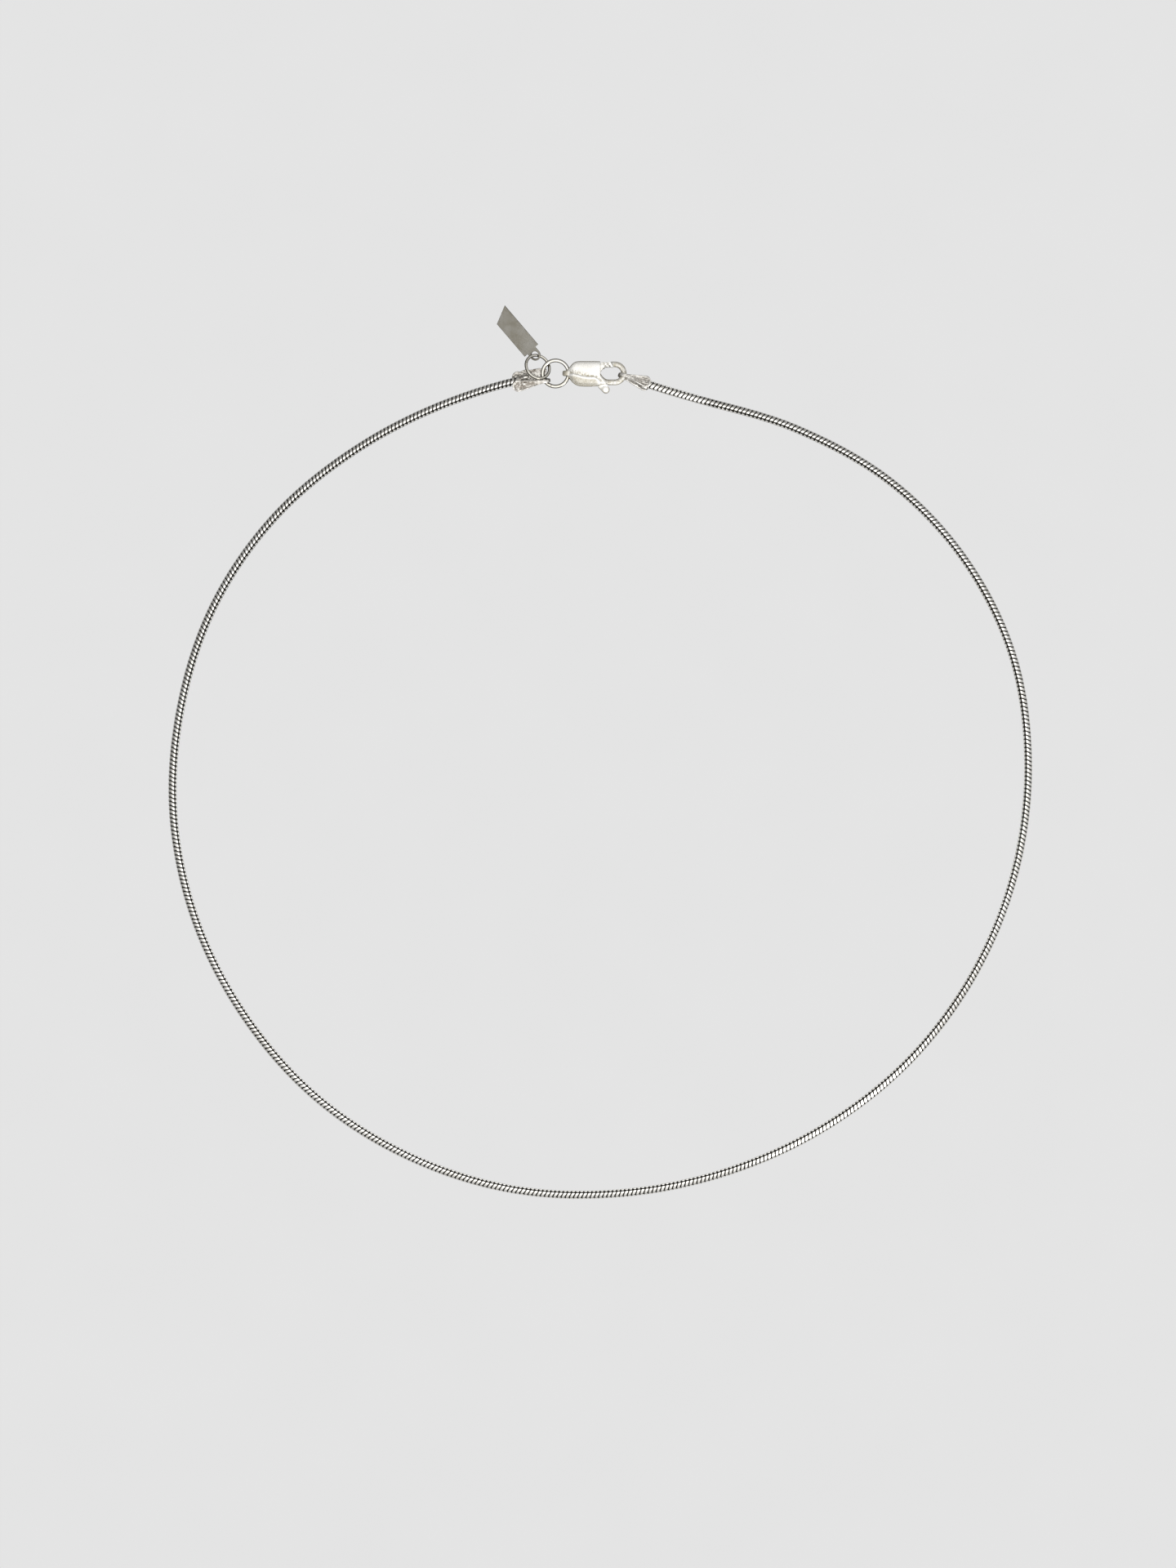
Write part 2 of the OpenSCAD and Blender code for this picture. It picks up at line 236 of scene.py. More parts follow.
def make_polish_group():
    group, given, result = start_group(
        "worn_polish",
        (("Clean", "Color"), ("Dull", "Color"), ("Patch Scale", "Float"), ("Mark Scale", "Float"),
         ("Smoothest", "Float"), ("Roughest", "Float")),
        (("Color", "Color"), ("Roughness", "Float"), ("Height", "Float")))
    place = add_node(group, "ShaderNodeTexCoord")
    patches = add_node(group, "ShaderNodeTexNoise", {"Detail": 3.0, "Roughness": 0.6})
    marks = add_node(group, "ShaderNodeTexNoise", {"Detail": 5.0, "Roughness": 0.7})
    contrast = add_node(group, "ShaderNodeMapRange", {"From Min": 0.35, "From Max": 0.65})
    tint = add_node(group, "ShaderNodeMix", data_type="RGBA")
    rough = add_node(group, "ShaderNodeMapRange", {"From Min": 0.3, "From Max": 0.7})
    connect(group, (place, "Object", patches, "Vector"), (place, "Object", marks, "Vector"),
            (given, "Patch Scale", patches, "Scale"), (given, "Mark Scale", marks, "Scale"),
            (patches, "Fac", contrast, "Value"), (contrast, "Result", tint, 0),
            (given, "Clean", tint, 6), (given, "Dull", tint, 7), (tint, 2, result, "Color"),
            (marks, "Fac", rough, "Value"), (given, "Smoothest", rough, "To Min"),
            (given, "Roughest", rough, "To Max"), (rough, "Result", result, "Roughness"),
            (marks, "Fac", result, "Height"))
    return group


polish_group = make_polish_group()
print("group", polish_group.name, "with", len(polish_group.interface.items_tree), "sockets")

# %% [markdown]
# Where light can't reach, between links and in corners, silver looks dark. The renderer could find
# that shade from the shape, but here it is painted instead, as a mask stored on the mesh, which is
# exact and exports well. The same mask also carries real tarnish and dark solder seams. Each mesh
# below carries it as a point attribute, 0 in the open and 1 in the darkest painted shade and
# tarnish. A second small group mixes a dark colour in by that mask.

# %% Node group for painted shade and tarnish
def make_gap_group():
    group, given, result = start_group(
        "painted_shade_and_tarnish", (("Color", "Color"), ("Dark", "Color"), ("Amount", "Float")),
        (("Color", "Color"),))
    deep = add_node(group, "ShaderNodeAttribute", attribute_name="deep")
    share = add_node(group, "ShaderNodeMath", operation="MULTIPLY", use_clamp=True)
    mix = add_node(group, "ShaderNodeMix", data_type="RGBA")
    connect(group, (deep, "Fac", share, 0), (given, "Amount", share, 1), (share, 0, mix, 0),
            (given, "Color", mix, 6), (given, "Dark", mix, 7), (mix, 2, result, "Color"))
    return group


gap_group = make_gap_group()
print("group", gap_group.name, "with", len(gap_group.interface.items_tree), "sockets")

# %% [markdown]
# A finish is now one short call: the two groups feed a Principled shader, and the fine marks also
# give it a slight relief. Bright wire, buffed links, rough soldered sheet and matte cast silver
# differ only in their values. Cast silver that was pickled but not buffed is white and scatters
# like paint, so on the clasp and its lever the metal is only partly metallic.

# %% Silver finishes
def silver(name, warmth, roughest, patch, bump, clean=0.95, dull=0.82, smoothest=0.06,
           mark=2500.0, dark=grey(0.02, 0.1), metallic=1.0):
    """A silver finish: worn polish and painted shade and tarnish feed one Principled shader."""
    material, tree, shader = start_material(name, Metallic=metallic)
    polish = add_node(tree, "ShaderNodeGroup", node_tree=polish_group)
    for key, value in (("Clean", grey(clean, warmth)), ("Dull", grey(dull, 1.6 * warmth)),
                       ("Patch Scale", patch), ("Mark Scale", mark),
                       ("Smoothest", smoothest), ("Roughest", roughest)):
        polish.inputs[key].default_value = value
    gaps = add_node(tree, "ShaderNodeGroup", node_tree=gap_group)
    gaps.inputs["Dark"].default_value, gaps.inputs["Amount"].default_value = dark, 1.0
    relief = add_node(tree, "ShaderNodeBump", {"Strength": bump, "Distance": 0.02 * MM})
    connect(tree, (polish, "Color", gaps, "Color"), (gaps, "Color", shader, "Base Color"),
            (polish, "Roughness", shader, "Roughness"), (polish, "Height", relief, "Height"),
            (relief, "Normal", shader, "Normal"))
    return material


# Each finish's dark colour is what the mask mixes in. On the chain, clasp, lever and tag it is
# painted shade. On the rings it is painted shade plus the seam's real dark line. On the caps it is
# real tarnish plus painted shade on their sides.
chain_silver = silver("chain_silver", warmth=0.04, roughest=0.14, patch=90.0, bump=0.04,
                      dark=grey(0.015, 0.2))
cap_silver = silver("cap_silver", dull=0.7, warmth=0.05, smoothest=0.2, roughest=0.45, patch=900.0,
                    mark=4000.0, bump=0.6, dark=(0.19, 0.165, 0.138, 1.0))
ring_silver = silver("ring_silver", clean=0.7, dull=0.56, warmth=0.08, roughest=0.12, patch=300.0,
                     bump=0.04, dark=grey(0.07, 0.35))
clasp_silver = silver("clasp_silver", clean=0.88, dull=0.78, warmth=0.04, smoothest=0.3,
                      roughest=0.5, patch=400.0, bump=0.4, dark=grey(0.24, 0.4), metallic=0.5)
lever_silver = silver("lever_silver", clean=0.9, dull=0.7, warmth=0.05, smoothest=0.25,
                      roughest=0.5, patch=1500.0, bump=0.6, dark=grey(0.2, 0.22), metallic=0.7)
print("finishes", [m.name for m in bpy.data.materials])

# %% [markdown]
# ## Small tools for meshes
# All the pieces are drawn in millimetres, which keeps the numbers readable, and are scaled to
# metres when they become objects. Most of them start as a loft: rings of points, joined into a
# closed skin. A few one-line sums shape them: turning, fading from 0 to 1 over a short way, and
# making a circle squarer.

# %% Helpers for points
def unit(v):
    return v / np.linalg.norm(v, axis=-1, keepdims=True)


def turned(points, x=0.0, y=0.0, z=0.0):
    """Points turned about X, then Y, then Z, by angles in degrees, as the CAD does."""
    for axis, angle in ((0, x), (1, y), (2, z)):
        a, b = (axis + 1) % 3, (axis + 2) % 3
        c, s = math.cos(math.radians(angle)), math.sin(math.radians(angle))
        points = np.array(points, float)
        points[..., a], points[..., b] = (points[..., a] * c - points[..., b] * s,
                                          points[..., a] * s + points[..., b] * c)
    return points


def round_turn(count):
    """Angles all the way round, in radians."""
    return np.radians(np.arange(count) * 360 / count)


def fade(values, start, width):
    """0 up to start, rising to 1 over width; with a negative width, 0 above start instead."""
    return np.clip((values - start) / width, 0, 1)


def squarish(wave, power):
    """A cosine or sine with its sign kept and its size raised: powers under 1 make corners."""
    return np.sign(wave) * np.abs(wave) ** power


def loft(rings, closed=False):
    """Vertices and faces of a skin over rings of equal numbers of points."""
    rings = np.asarray(rings, float)
    count, sides = rings.shape[:2]
    faces = []
    for i in range(count if closed else count - 1):
        a, b = i * sides, (i + 1) % count * sides
        faces += [(a + k, a + (k + 1) % sides, b + (k + 1) % sides, b + k) for k in range(sides)]
    if not closed:
        last = (count - 1) * sides
        faces += [tuple(range(sides - 1, -1, -1)), tuple(last + k for k in range(sides))]
    return rings.reshape(-1, 3), faces


def slab(outline, low, high):
    """A straight-sided solid over a 2-D outline that runs anticlockwise."""
    return loft([[(x, y, low) for x, y in outline], [(x, y, high) for x, y in outline]])


def joined(*parts):
    """Several (vertices, faces) pairs as one."""
    points, faces, start = [], [], 0
    for part_points, part_faces in parts:
        points.append(np.asarray(part_points, float))
        faces += [tuple(start + v for v in face) for face in part_faces]
        start += len(part_points)
    return np.vstack(points), faces


print("a square prism has", len(slab([(0, 0), (1, 0), (1, 1), (0, 1)], 0, 1)[1]), "faces")

# %% [markdown]
# Points and faces aren't a piece yet. A piece is in metres, carries the mask of painted shade and
# tarnish, knows which of its edges stay sharp under smooth shading, rides on a body of the frame,
# and says which CAD node it stands for. Its upright sides also get painted shade here, darker for
# every piece that asks for it.

# %% From points to a piece
def make_piece(name, points_mm, faces, material, body, node, deep=None, sharp=30.0,
               sides=0.0):
    """A mesh object that rides on a body; sides is how much painted shade its upright sides get."""
    mesh = bpy.data.meshes.new(name)
    mesh.from_pydata((np.asarray(points_mm) * MM).tolist(), [], faces)
    mesh.validate()
    facing_up = np.array([abs(v.normal.z) for v in mesh.vertices])
    # Painted shade on the upright sides, as strong as sides asks, joins the given mask.
    shade = np.maximum(0.0 if deep is None else deep, sides * fade(facing_up, 0.66, -0.3))
    mesh.attributes.new("deep", "FLOAT", "POINT").data.foreach_set("value", shade)
    mesh.materials.append(material)
    mesh.shade_smooth()
    if sharp:
        mesh.set_sharp_from_angle(angle=math.radians(sharp))
    piece = add_object(name, mesh)
    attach(piece, body)
    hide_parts(node)
    mesh.calc_loop_triangles()
    print(name, len(mesh.loop_triangles), "triangles")


# %% [markdown]
# Soft cast forms are made the way a caster's wax is: simple solids are pushed together, melted into
# one skin by a voxel remesh, and smoothed. A boolean union would keep every seam crisp, which is
# right for a machined part and wrong for this one. The remesh works in whole millimetre units, so
# it runs before the scaling. Its result is read back as points and faces.

# %% Melting solids into one skin
def melted(points, faces, voxel, rounds, cut=None):
    """One soft skin over overlapping solids: voxel remesh, smoothing, then an optional cut."""
    def helper(label, data):
        mesh = bpy.data.meshes.new(label)
        mesh.from_pydata(np.asarray(data[0]).tolist(), [], data[1])
        return add_object(label, mesh)

    soft = helper("soft_form", (points, faces))
    remesh = soft.modifiers.new("melt", "REMESH")
    remesh.mode, remesh.voxel_size = "VOXEL", voxel
    smooth = soft.modifiers.new("smooth", "SMOOTH")
    smooth.factor, smooth.iterations = 0.5, rounds
    knife = None
    if cut is not None:
        knife = helper("knife", cut)
        boolean = soft.modifiers.new("cut", "BOOLEAN")
        boolean.operation, boolean.object, boolean.solver = "DIFFERENCE", knife, "EXACT"
    bpy.context.view_layer.update()
    result = bpy.data.meshes.new_from_object(
        soft.evaluated_get(bpy.context.evaluated_depsgraph_get()))
    points = np.zeros(len(result.vertices) * 3, np.float32)
    result.vertices.foreach_get("co", points)
    faces = [tuple(face.vertices) for face in result.polygons]
    for thing in (soft, knife):
        if thing:
            bpy.data.objects.remove(thing)
    return points.reshape(-1, 3).astype(float), faces


# %% [markdown]
# ## The chain
# A snake chain is a row of bent bands, each a closed ring that zigzags along the chain and nests in
# its neighbours. This one is cut flat on eight sides, so each band shows as bright slanted scales.
# The route is the same smooth curve as in the CAD source: the points are repeated here, joined by a
# cubic through level tangents. We then measure it, so that links can be set out at a fixed pitch.

# %% Route of the chain
LEFT_HEADING, RIGHT_HEADING = 194.0, -18.0
CHAIN_Z = 0.71
ROUTE = [(-12.84, 64.766, 1.582), (-17.497, 63.605, 1.582)] + [(x, y, CHAIN_Z) for x, y in (
    (-24.8, 61.295), (-41.7, 53.0), (-56.3, 41.1), (-67.0, 25.7), (-72.9, 7.8), (-74.2, -11.0),
    (-70.3, -29.4), (-61.7, -46.1), (-49.2, -60.2), (-33.3, -70.3), (-15.4, -76.0), (3.4, -76.7),
    (21.9, -73.0), (39.0, -65.2), (53.8, -53.5), (65.0, -38.4), (72.0, -20.9), (74.3, -2.2),
    (71.7, 16.4), (63.4, 33.2), (50.4, 46.9), (34.0, 56.1), (16.0, 61.5))]
ROUTE += [(11.41, 62.794, 1.353), (6.844, 64.278, 1.353)]


def heading(degrees):
    return np.array([math.cos(math.radians(degrees)), math.sin(math.radians(degrees)), 0.0])


def smooth_route(points, steps=60):
    """Points close together on the cubic through the route's points."""
    points = np.array(points)
    chords = np.diff(points, axis=0)
    flat = chords * (1, 1, 0)
    spans = np.linalg.norm(flat, axis=1)[:, None]
    inner = unit(spans[:-1] * unit(flat[1:]) + spans[1:] * unit(flat[:-1]))
    tangents = np.vstack([heading(LEFT_HEADING), inner, -heading(RIGHT_HEADING)])
    reach = np.linalg.norm(chords, axis=1)[:, None]
    line = []
    for t in np.arange(steps) / steps:
        a, b = 2 * t**3 - 3 * t**2 + 1, t**3 - 2 * t**2 + t
        line.append(a * points[:-1] + b * reach * tangents[:-1]
                    + (1 - a) * points[1:] + (t**3 - t**2) * reach * tangents[1:])
    return np.vstack([np.array(line).transpose(1, 0, 2).reshape(-1, 3), points[-1:]])


line = smooth_route(ROUTE)
along = np.concatenate([[0], np.cumsum(np.linalg.norm(np.diff(line, axis=0), axis=1))])
forward = unit(np.gradient(line, along, axis=0))
inward = unit(np.cross((0, 0, 1), forward))
upward = np.cross(forward, inward)
print("chain length", round(along[-1], 1), "mm, from", len(line), "points")


def on_route(distance, angle_deg, radius):
    """Points at distances along the chain, at an angle from the loop's inside, at a radius."""
    pick = [np.stack([np.interp(distance, along, column) for column in array.T], axis=-1)
            for array in (line, inward, upward)]
    angle = np.radians(angle_deg)[..., None]
    outward = np.cos(angle) * pick[1] + np.sin(angle) * pick[2]
    return pick[0] + np.asarray(radius)[..., None] * outward


# %% [markdown]
# One link could be modelled as an object and copied along a curve with an array, but a curve
# modifier would bend the hard scales. Working out all the links in one array keeps each one crisp
# and lets the chain roll slowly about its own length, as the real one does. A link's form has two
# parts. Round the chain it has 24 corners: the radius follows the eight flats, and the band shifts
# to and fro along the chain twice. Across the band it has a profile of six corners, a flat face
# with worn edges. At the zigzag's points the band pinches in and sinks, which leaves the row of
# small dark holes along the loop's inner edge. A quarter turn further round there is a second row.
# It opens fully beside the right cap, where the first one closes. The band's worn edges and its
# holes are painted dark as the shade that falls between the bands.

# %% Form of a link
PITCH = 0.717
FLAT_RADIUS = 0.675
SWING = 0.25
FIRST_HOLE = 52.0
HALF_BAND = 0.295
# At a hole: the share of the band's width that is lost, how far it sinks in mm, and its painted
# shade
PINCH, SINK, HOLE_DARK = 0.85, 0.16, 0.9
# The second row: how open it is along most of the chain, how much of the first row stays where
# the second one takes over, and between which shares of the length that happens
SECOND_OPEN, FIRST_LEFT, HANDOVER = 0.3, 0.1, (0.962, 0.976)
# Across a band: shares of its half width, heights in mm, and painted shade
PROFILE = np.array([(-1.0, -0.28, 1.0), (-1.0, -0.09, 0.9), (-0.68, -0.008, 0.0),
                    (0.68, -0.008, 0.0), (1.0, -0.09, 0.9), (1.0, -0.28, 1.0)])
# Round half a link: degrees, and how much of a hole of the first and of the second row is there
HALF_TURN = ((0, 1.0, 0), (10, 0.85, 0), (20, 0, 0), (45, 0, 0), (73, 0, 0), (82, 0, 0.6),
             (90, 0, 1.0), (98, 0, 0.6), (107, 0, 0), (135, 0, 0), (160, 0, 0), (170, 0.85, 0))
# How the chain rolls about its own length: shares of the length, and degrees
ROLL = ((0, 0.13, 0.26, 0.39, 0.52, 0.65, 0.75, 0.84, 0.93, 0.96, 0.975, 1),
        (-5, -4, -10, -13, -10, -5, -3, 1, -2, -2, -3, -3))
print("a link has", 2 * len(HALF_TURN), "corners round the chain and", len(PROFILE), "across")

# %% [markdown]
# Each table becomes one axis of a big array: links, corners round the chain, corners across the
# band. Adding arrays of one axis fills in the other two, so no loop runs over the links, and each
# point then finds its place on the route. Between the bands there would be a view right through the
# chain, so a core painted fully dark runs inside, as painted shade for the inside of the hollow
# chain.

# %% Links
CORE_RADIUS = 0.5


def build_links():
    count = int(along[-1] / PITCH) - 1
    start = (along[-1] - (count - 1) * PITCH) / 2
    at = start + PITCH * np.arange(count)
    roll = np.interp(at / along[-1], *ROLL)
    turn = np.array([corner[0] + half for half in (0, 180) for corner in HALF_TURN])
    first, second = np.array([corner[1:] for corner in HALF_TURN * 2]).T
    change = np.interp(at / along[-1], HANDOVER, (0, 1))[:, None]
    hole = (first * (1 - (1 - FIRST_LEFT) * change)
            + second * (SECOND_OPEN + (1 - SECOND_OPEN) * change))[:, :, None]
    zigzag = SWING * (np.abs((turn % 180) - 90) / 45 - 1)
    flat = FLAT_RADIUS / np.cos(np.radians(turn % 45 - 22.5))
    half = HALF_BAND * (1 - PINCH * hole)
    distance = at[:, None, None] + zigzag[None, :, None] + half * PROFILE[None, None, :, 0]
    radius = flat[None, :, None] - SINK * hole + PROFILE[None, None, :, 1] + 0 * distance
    angle = (FIRST_HOLE + turn)[None, :, None] + roll[:, None, None] + 0 * distance
    points = on_route(np.clip(distance, 0, along[-1]), angle, radius)
    deep = np.clip(PROFILE[None, None, :, 2] + HOLE_DARK * hole + 0 * distance, 0, 1)
    sides, around = len(PROFILE), len(turn)
    faces = []
    for i in range(count):
        for a in range(around):
            p, q = (i * around + a) * sides, (i * around + (a + 1) % around) * sides
            faces += [(p + k, q + k, q + (k + 1) % sides, p + (k + 1) % sides)
                      for k in range(sides)]
    return points.reshape(-1, 3), faces, deep.reshape(-1), count


link_points, link_faces, link_deep, link_count = build_links()
core_at = np.arange(PITCH, along[-1] - PITCH, 2 * PITCH)
core_angle = np.arange(8)[None, :] * 45.0 + 0 * core_at[:, None]
core = loft(on_route(core_at[:, None] + 0 * core_angle, core_angle, CORE_RADIUS + 0 * core_angle))
chain_points, chain_faces = joined((link_points, link_faces), core)
chain_deep = np.concatenate([link_deep, np.ones(len(core[0]))])
make_piece("snake_chain_links", chain_points, chain_faces, chain_silver, "necklace", "snake_chain",
           deep=chain_deep, sharp=40)
print("links", link_count)

# %% [markdown]
# ## Rings
# Both rings are round wire bent to a circle, cut and soldered. A torus primitive would do for the
# form, but the solder joint is worth having: the wire swells a little there, with a fine line where
# the ends met. The ring is worked out as a loft whose wire changes over a few degrees at the joint.

# %% Jump ring and tag ring
# How much thicker the wire is at its joint and how deep the line in it is, as shares of the wire,
# and over how many degrees of the ring each of them fades
SWELL, SWELL_SPAN = 0.045, 9.0
SEAM, SEAM_SPAN = 0.1, 1.6


def wire_ring(centre, radius, wire, tilt, joint_at, steps=144, sides=24):
    turn = np.arange(steps) * 360 / steps
    off = (turn - joint_at + 180) % 360 - 180
    swell, seam = np.exp(-(off / SWELL_SPAN) ** 2), np.exp(-(off / SEAM_SPAN) ** 2)
    thick = wire / 2 * (1 - SWELL + SWELL * swell - SEAM * seam)
    a = np.radians(turn)[:, None]
    b = round_turn(sides)[None, :]
    reach = radius + thick[:, None] * np.cos(b)
    rings = np.stack([reach * np.cos(a), reach * np.sin(a), thick[:, None] * np.sin(b) + 0 * a], -1)
    points, faces = loft(turned(rings, *tilt) + centre, closed=True)
    # The wire's upright sides get painted shade, which draws dark lines along it; the seam's dark
    # line is a real joint.
    flank = 0.95 * fade(np.abs(np.sin(b)), 0.88, -0.3)
    return points, faces, np.maximum(0.8 * seam[:, None], flank).reshape(-1)


RINGS = {
    "jump_ring": dict(centre=(-7.8114, 65.6925, 1.253), radius=2.26, wire=0.68,
                      tilt=(1.7, -5.0, 0), joint_at=250),
    "tag_ring": dict(centre=(-10.8914, 66.8225, 1.5), radius=2.18, wire=0.54,
                     tilt=(-19.3, 23.7, 0), joint_at=160)}
for node, values in RINGS.items():
    ring_points, ring_faces, ring_deep = wire_ring(**values)
    make_piece(node + "_wire", ring_points, ring_faces, ring_silver, "necklace", node,
               deep=ring_deep, sharp=0)

# %% [markdown]
# ## Caps
# Each cap is a strip of thin sheet folded over a wire, with a leaf at either end soldered to the
# chain. Flat leaves would look like paper. A bench worker presses them round the chain with pliers,
# so each leaf here is a little dished, thicker at its rim, and joined to the chain by lumps of
# solder. The solids are pushed together and melted into one skin.

# %% Parts of a cap
CAP_GAP = 1.597
SHEET = 0.28
SHEET_Z = (CAP_GAP + SHEET) / 2
LEAF_R = 1.05
NECK = 0.3


def leaf_half(x, length):
    """Half the leaf's width at x."""
    middle = length - LEAF_R
    widening = NECK + (LEAF_R - NECK) * fade(x, 0.5, middle - 0.3)
    round_end = np.sqrt(np.clip(LEAF_R**2 - np.clip(x - middle, 0, None) ** 2, 0, None))
    return widening * round_end / LEAF_R


def leaf(side, turn_deg, length):
    """A leaf as a loft of rounded sections, from the neck at the fold to the round end."""
    rings = []
    for x in length * np.sin(np.linspace(-0.01, 1.565, 40)):
        half = max(float(leaf_half(x, length)), 0.05)
        a = round_turn(24)
        y, z = half * squarish(np.cos(a), 0.5), SHEET / 2 * squarish(np.sin(a), 0.6)
        rings.append(np.stack([x + 0 * a, y, z + side * SHEET_Z], -1))
    return loft(turned(np.array(rings), z=turn_deg))


def fold(lean):
    """The half turn of sheet that goes round the wire."""
    rings = []
    for a in np.radians(np.linspace(85, 275, 25)):
        b = round_turn(16)
        y = NECK * squarish(np.cos(b), 0.5)
        r = SHEET_Z + SHEET / 2 * squarish(np.sin(b), 0.6)
        rings.append(np.stack([r * math.cos(a), y, r * math.sin(a)], -1))
    points, faces = loft(np.array(rings))
    return turned(points, z=lean), [face[::-1] for face in faces]


def ball(centre, radii, count=12):
    """An egg of solder."""
    a = np.linspace(0.02, math.pi - 0.02, count)[:, None]
    b = round_turn(2 * count)[None, :]
    rings = np.stack([radii[0] * np.cos(a) + 0 * b, radii[1] * np.sin(a) * np.cos(b),
                      radii[2] * np.sin(a) * np.sin(b)], -1)
    points, faces = loft(rings + centre)
    return points, [face[::-1] for face in faces]


print("a cap's leaf at 2 mm from the fold is", round(2 * float(leaf_half(2.0, 5.6)), 2), "mm wide")

# %% [markdown]
# After melting, the cap is worked over as on the bench. The leaf's face is pressed down inside a
# raised rim, pliers leave small facets, and flux and tarnish stay in the hollow. The presses are
# plain moves of the points up and down, and the same sums that press the hollow also mark it as
# stained. Noise read at each point gives the unevenness of handwork, the same on every run.

# %% Pressing a leaf
RIM_HEIGHT = 0.05


def ripple(points, size):
    """A smooth random height from -1 to 1 for each point, with bumps of about this size in mm."""
    return np.array([noise.noise(Vector(point / size)) for point in points])


def press_leaf(points, side, length, turn_deg, depth, stain):
    """Presses a hollow with a rim into a leaf's outer face and returns where it is stained."""
    local = turned(points, z=-turn_deg)
    x, y, z = local.T
    across = np.abs(y) / np.maximum(leaf_half(x, length), 1e-6)
    past_neck = fade(x, 0.9, 0.5)
    inside = fade(across, 0.74, -0.12) * past_neck * fade(x, length - 0.25, -0.15)
    rim = fade(across, 0.7, 0.1) * past_neck * (x < length)
    outer = side * z > SHEET_Z - 0.02
    hatch = 0.5 + 0.5 * np.sin(17 * (x * 0.6 + y)) * np.sin(11 * x + 2)
    rough = ripple(local, 0.32)
    hollow = depth * inside * (0.8 + 0.5 * hatch * fade(x, 2.4, 0.5) + 0.5 * rough)
    moved = points.copy()
    moved[:, 2] += side * outer * (RIM_HEIGHT * rim * (1 + 0.6 * rough) - hollow)
    return moved, outer * inside * stain * np.clip(0.85 + 0.8 * rough, 0, 1)


# %% [markdown]
# The two caps aren't the same. The left one's lower leaf is flared towards the tag's ring, and it
# is crumpled and heavily soldered; the right one is neat. One function makes both from a table of
# what differs. Each cap is drawn level, with its fold at the origin and its leaves along X, and is
# then rolled a little, turned to the chain's heading and moved to its place. The flare is turned
# the other way first, so that it ends up level, below the rings.

# %% End caps
CAP_ROLL = 12.0
UNEVEN, CRUMPLE = 0.035, 0.018
FLARE_Z = -0.93
FLARE = 5.2 * np.array([(-0.1, -0.07), (-0.18, -0.375), (0.06, -0.46), (0.38, -0.48),
                        (0.54, -0.53), (0.81, -0.485), (0.945, -0.385), (0.8, -0.225),
                        (0.305, -0.073), (0.025, -0.017)])
# Leaves are given by their angles below and above, solder by centre and radii, and presses by
# side, angle, depth and stain
CAPS = {
    "end_cap_left": dict(
        fold_at=(-9.7655, 64.4235, 1.3532), turn=LEFT_HEADING, lean=-9.0, length=5.6,
        leaves=(-20.0, -4.0), presses=((1, -4.0, 0.12, 0.95), (-1, -20.0, 0.11, 0.85)),
        solder=(((3.95, -1.42, 0.25), (0.85, 0.42, 0.7)), ((3.05, -1.45, 0.05), (0.75, 0.4, 0.65)),
                ((4.6, -1.8, -0.45), (0.45, 0.35, 0.4)), ((2.7, -1.55, -0.7), (1.1, 0.4, 0.2)),
                ((3.9, -0.35, 0.55), (0.8, 0.22, 0.3))),
        tarnish=0.56, flared=True),
    "end_cap_right": dict(
        fold_at=(4.0864, 65.1738, 1.3532), turn=RIGHT_HEADING, lean=0.0, length=4.75,
        leaves=(-1.0, 1.0), presses=((1, 1.0, 0.11, 0.72), (-1, -1.0, 0.08, 0.6)),
        solder=(((4.1, 0.62, 0.5), (0.5, 0.3, 0.3)), ((3.9, -0.75, -0.2), (0.7, 0.3, 0.6)),
                ((3.0, -0.55, 0.5), (0.7, 0.25, 0.35))),
        tarnish=0.36, flared=False)}


def end_cap(node, fold_at, turn, lean, length, leaves, presses, solder, tarnish, flared):
    parts = [fold(lean)] + [leaf(side, angle, length) for side, angle in zip((-1, 1), leaves)]
    parts += [ball(centre, radii) for centre, radii in solder]
    if flared:
        sheet_points, sheet_faces = slab(FLARE, FLARE_Z - SHEET / 2, FLARE_Z + SHEET / 2)
        parts.append((turned(sheet_points, x=CAP_ROLL), sheet_faces))
    points, faces = melted(*joined(*parts), voxel=0.045, rounds=3)
    deep = tarnish * np.clip(0.8 + 0.9 * ripple(points, 0.6), 0, 1.6)
    if flared:
        y, z = turned(points, x=-CAP_ROLL).T[1:]
        on_flare = (y < -0.6) * (z < -0.3)
        deep = np.maximum(deep, on_flare * np.clip(0.5 + 0.8 * ripple(points, 0.5), 0, 1))
    points[:, 2] += UNEVEN * ripple(points, 0.3)
    if flared:
        points += CRUMPLE * np.stack([ripple(points + shift, 0.22) for shift in (0, 9, 18)], -1)
    for side, angle, depth, stain in presses:
        points, marks = press_leaf(points, side, length, angle, depth, stain)
        deep = np.maximum(deep, marks)
    points = turned(turned(points, x=-CAP_ROLL), z=turn) + fold_at
    # The sheet's upright sides get painted shade; its tarnish and stains are real.
    make_piece(node + "_sheet", points, faces, cap_silver, "necklace", node,
               deep=deep, sharp=0, sides=0.95)


for node, values in CAPS.items():
    end_cap(node, **values)

# %% [markdown]
# ## Tag
# The tag is stamped from thin sheet: a plate with one slanted end and a small pierced tab. A filled
# 2-D curve with a hole is the quickest way to such a blank, because Blender extrudes it and rounds
# its edges in one step. Its finish is a satin grey, darker and rougher than the wire.

# %% Tag blank
TAG_HOLE = np.array([-11.3414, 68.9325, 0.975])
TAG_ROLL, TAG_DIP, TAG_HEADING = -25.5, 0.4, 130.5


